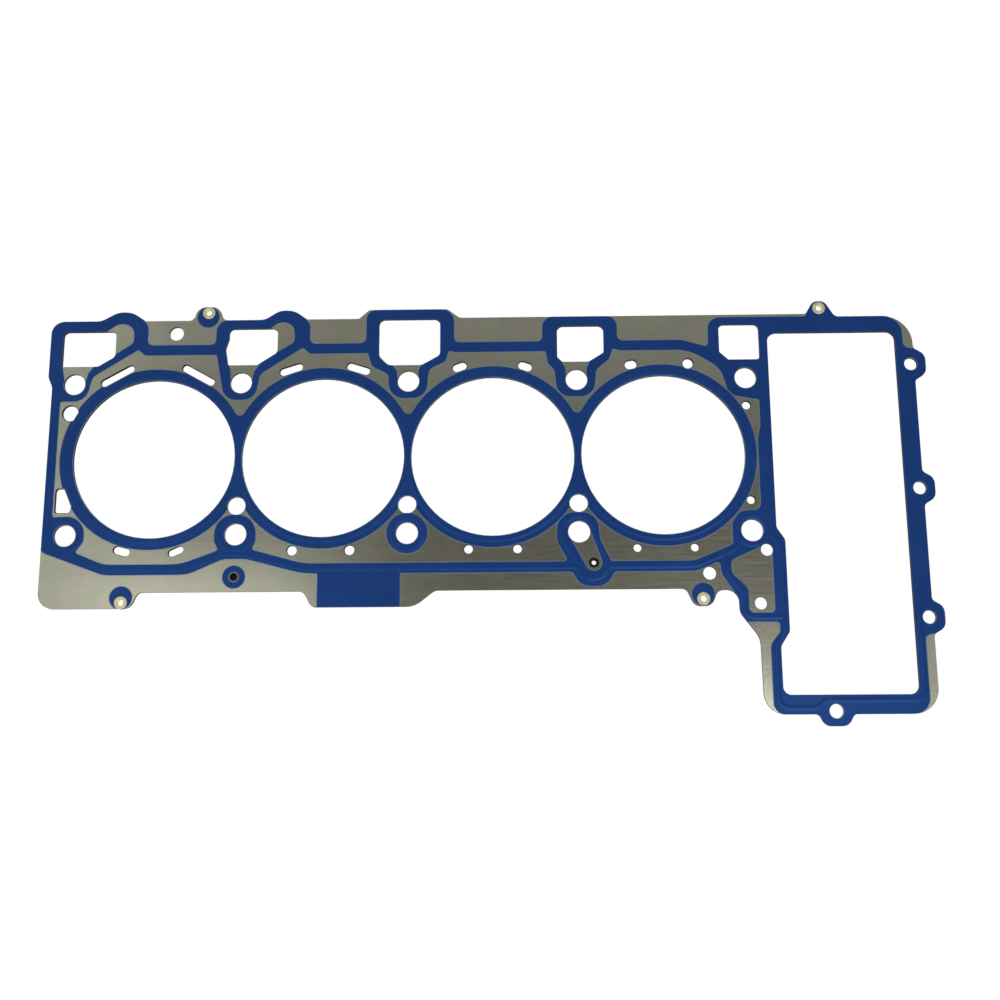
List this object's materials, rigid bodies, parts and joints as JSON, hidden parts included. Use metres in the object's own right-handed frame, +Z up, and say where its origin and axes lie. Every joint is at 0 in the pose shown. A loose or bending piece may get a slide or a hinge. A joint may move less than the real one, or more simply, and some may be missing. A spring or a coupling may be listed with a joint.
{
  "type": "cylinder head gasket",
  "caption": "Flat layered-steel gasket that seals a cylinder head to a V-engine bank, with printed blue seals, fluid ports and a long timing window.",
  "frame": {"origin": "centre of the bore nearest the timing window, on the plane that the gasket lies on", "axes": "+X along the row of bores towards the timing window, +Y towards the port side, +Z up out of the upper face"},
  "size_m": [0.5123, 0.2465, 0.003],
  "materials": {
    "spring_steel": "cold rolled, dull, faint rolling streaks",
    "carrier_steel": "cold rolled, dull, sheared edges",
    "blue_elastomer": "screen printed, satin",
    "eyelet_brass": "pressed, satin",
    "rivet_steel": "pressed, dull"
  },
  "bodies": {
    "root": {"upper_active_sheet": "spring_steel", "carrier_sheet": "carrier_steel", "lower_active_sheet": "spring_steel", "upper_perimeter_seal": "blue_elastomer", "upper_bore_seal": "blue_elastomer", "upper_bolt_ring": "blue_elastomer", "upper_rivet_ring": "blue_elastomer", "upper_eyelet_pad_1": "blue_elastomer", "upper_eyelet_pad_2": "blue_elastomer", "upper_eyelet_pad_3": "blue_elastomer", "lower_perimeter_seal": "blue_elastomer", "lower_bore_seal": "blue_elastomer", "lower_bolt_ring": "blue_elastomer", "lower_rivet_ring": "blue_elastomer", "lower_eyelet_pad_1": "blue_elastomer", "lower_eyelet_pad_2": "blue_elastomer", "lower_eyelet_pad_3": "blue_elastomer", "eyelet_1": "eyelet_brass", "eyelet_2": "eyelet_brass", "eyelet_3": "eyelet_brass", "eyelet_4": "eyelet_brass", "blind_rivet": "rivet_steel"}
  },
  "joints": []
}
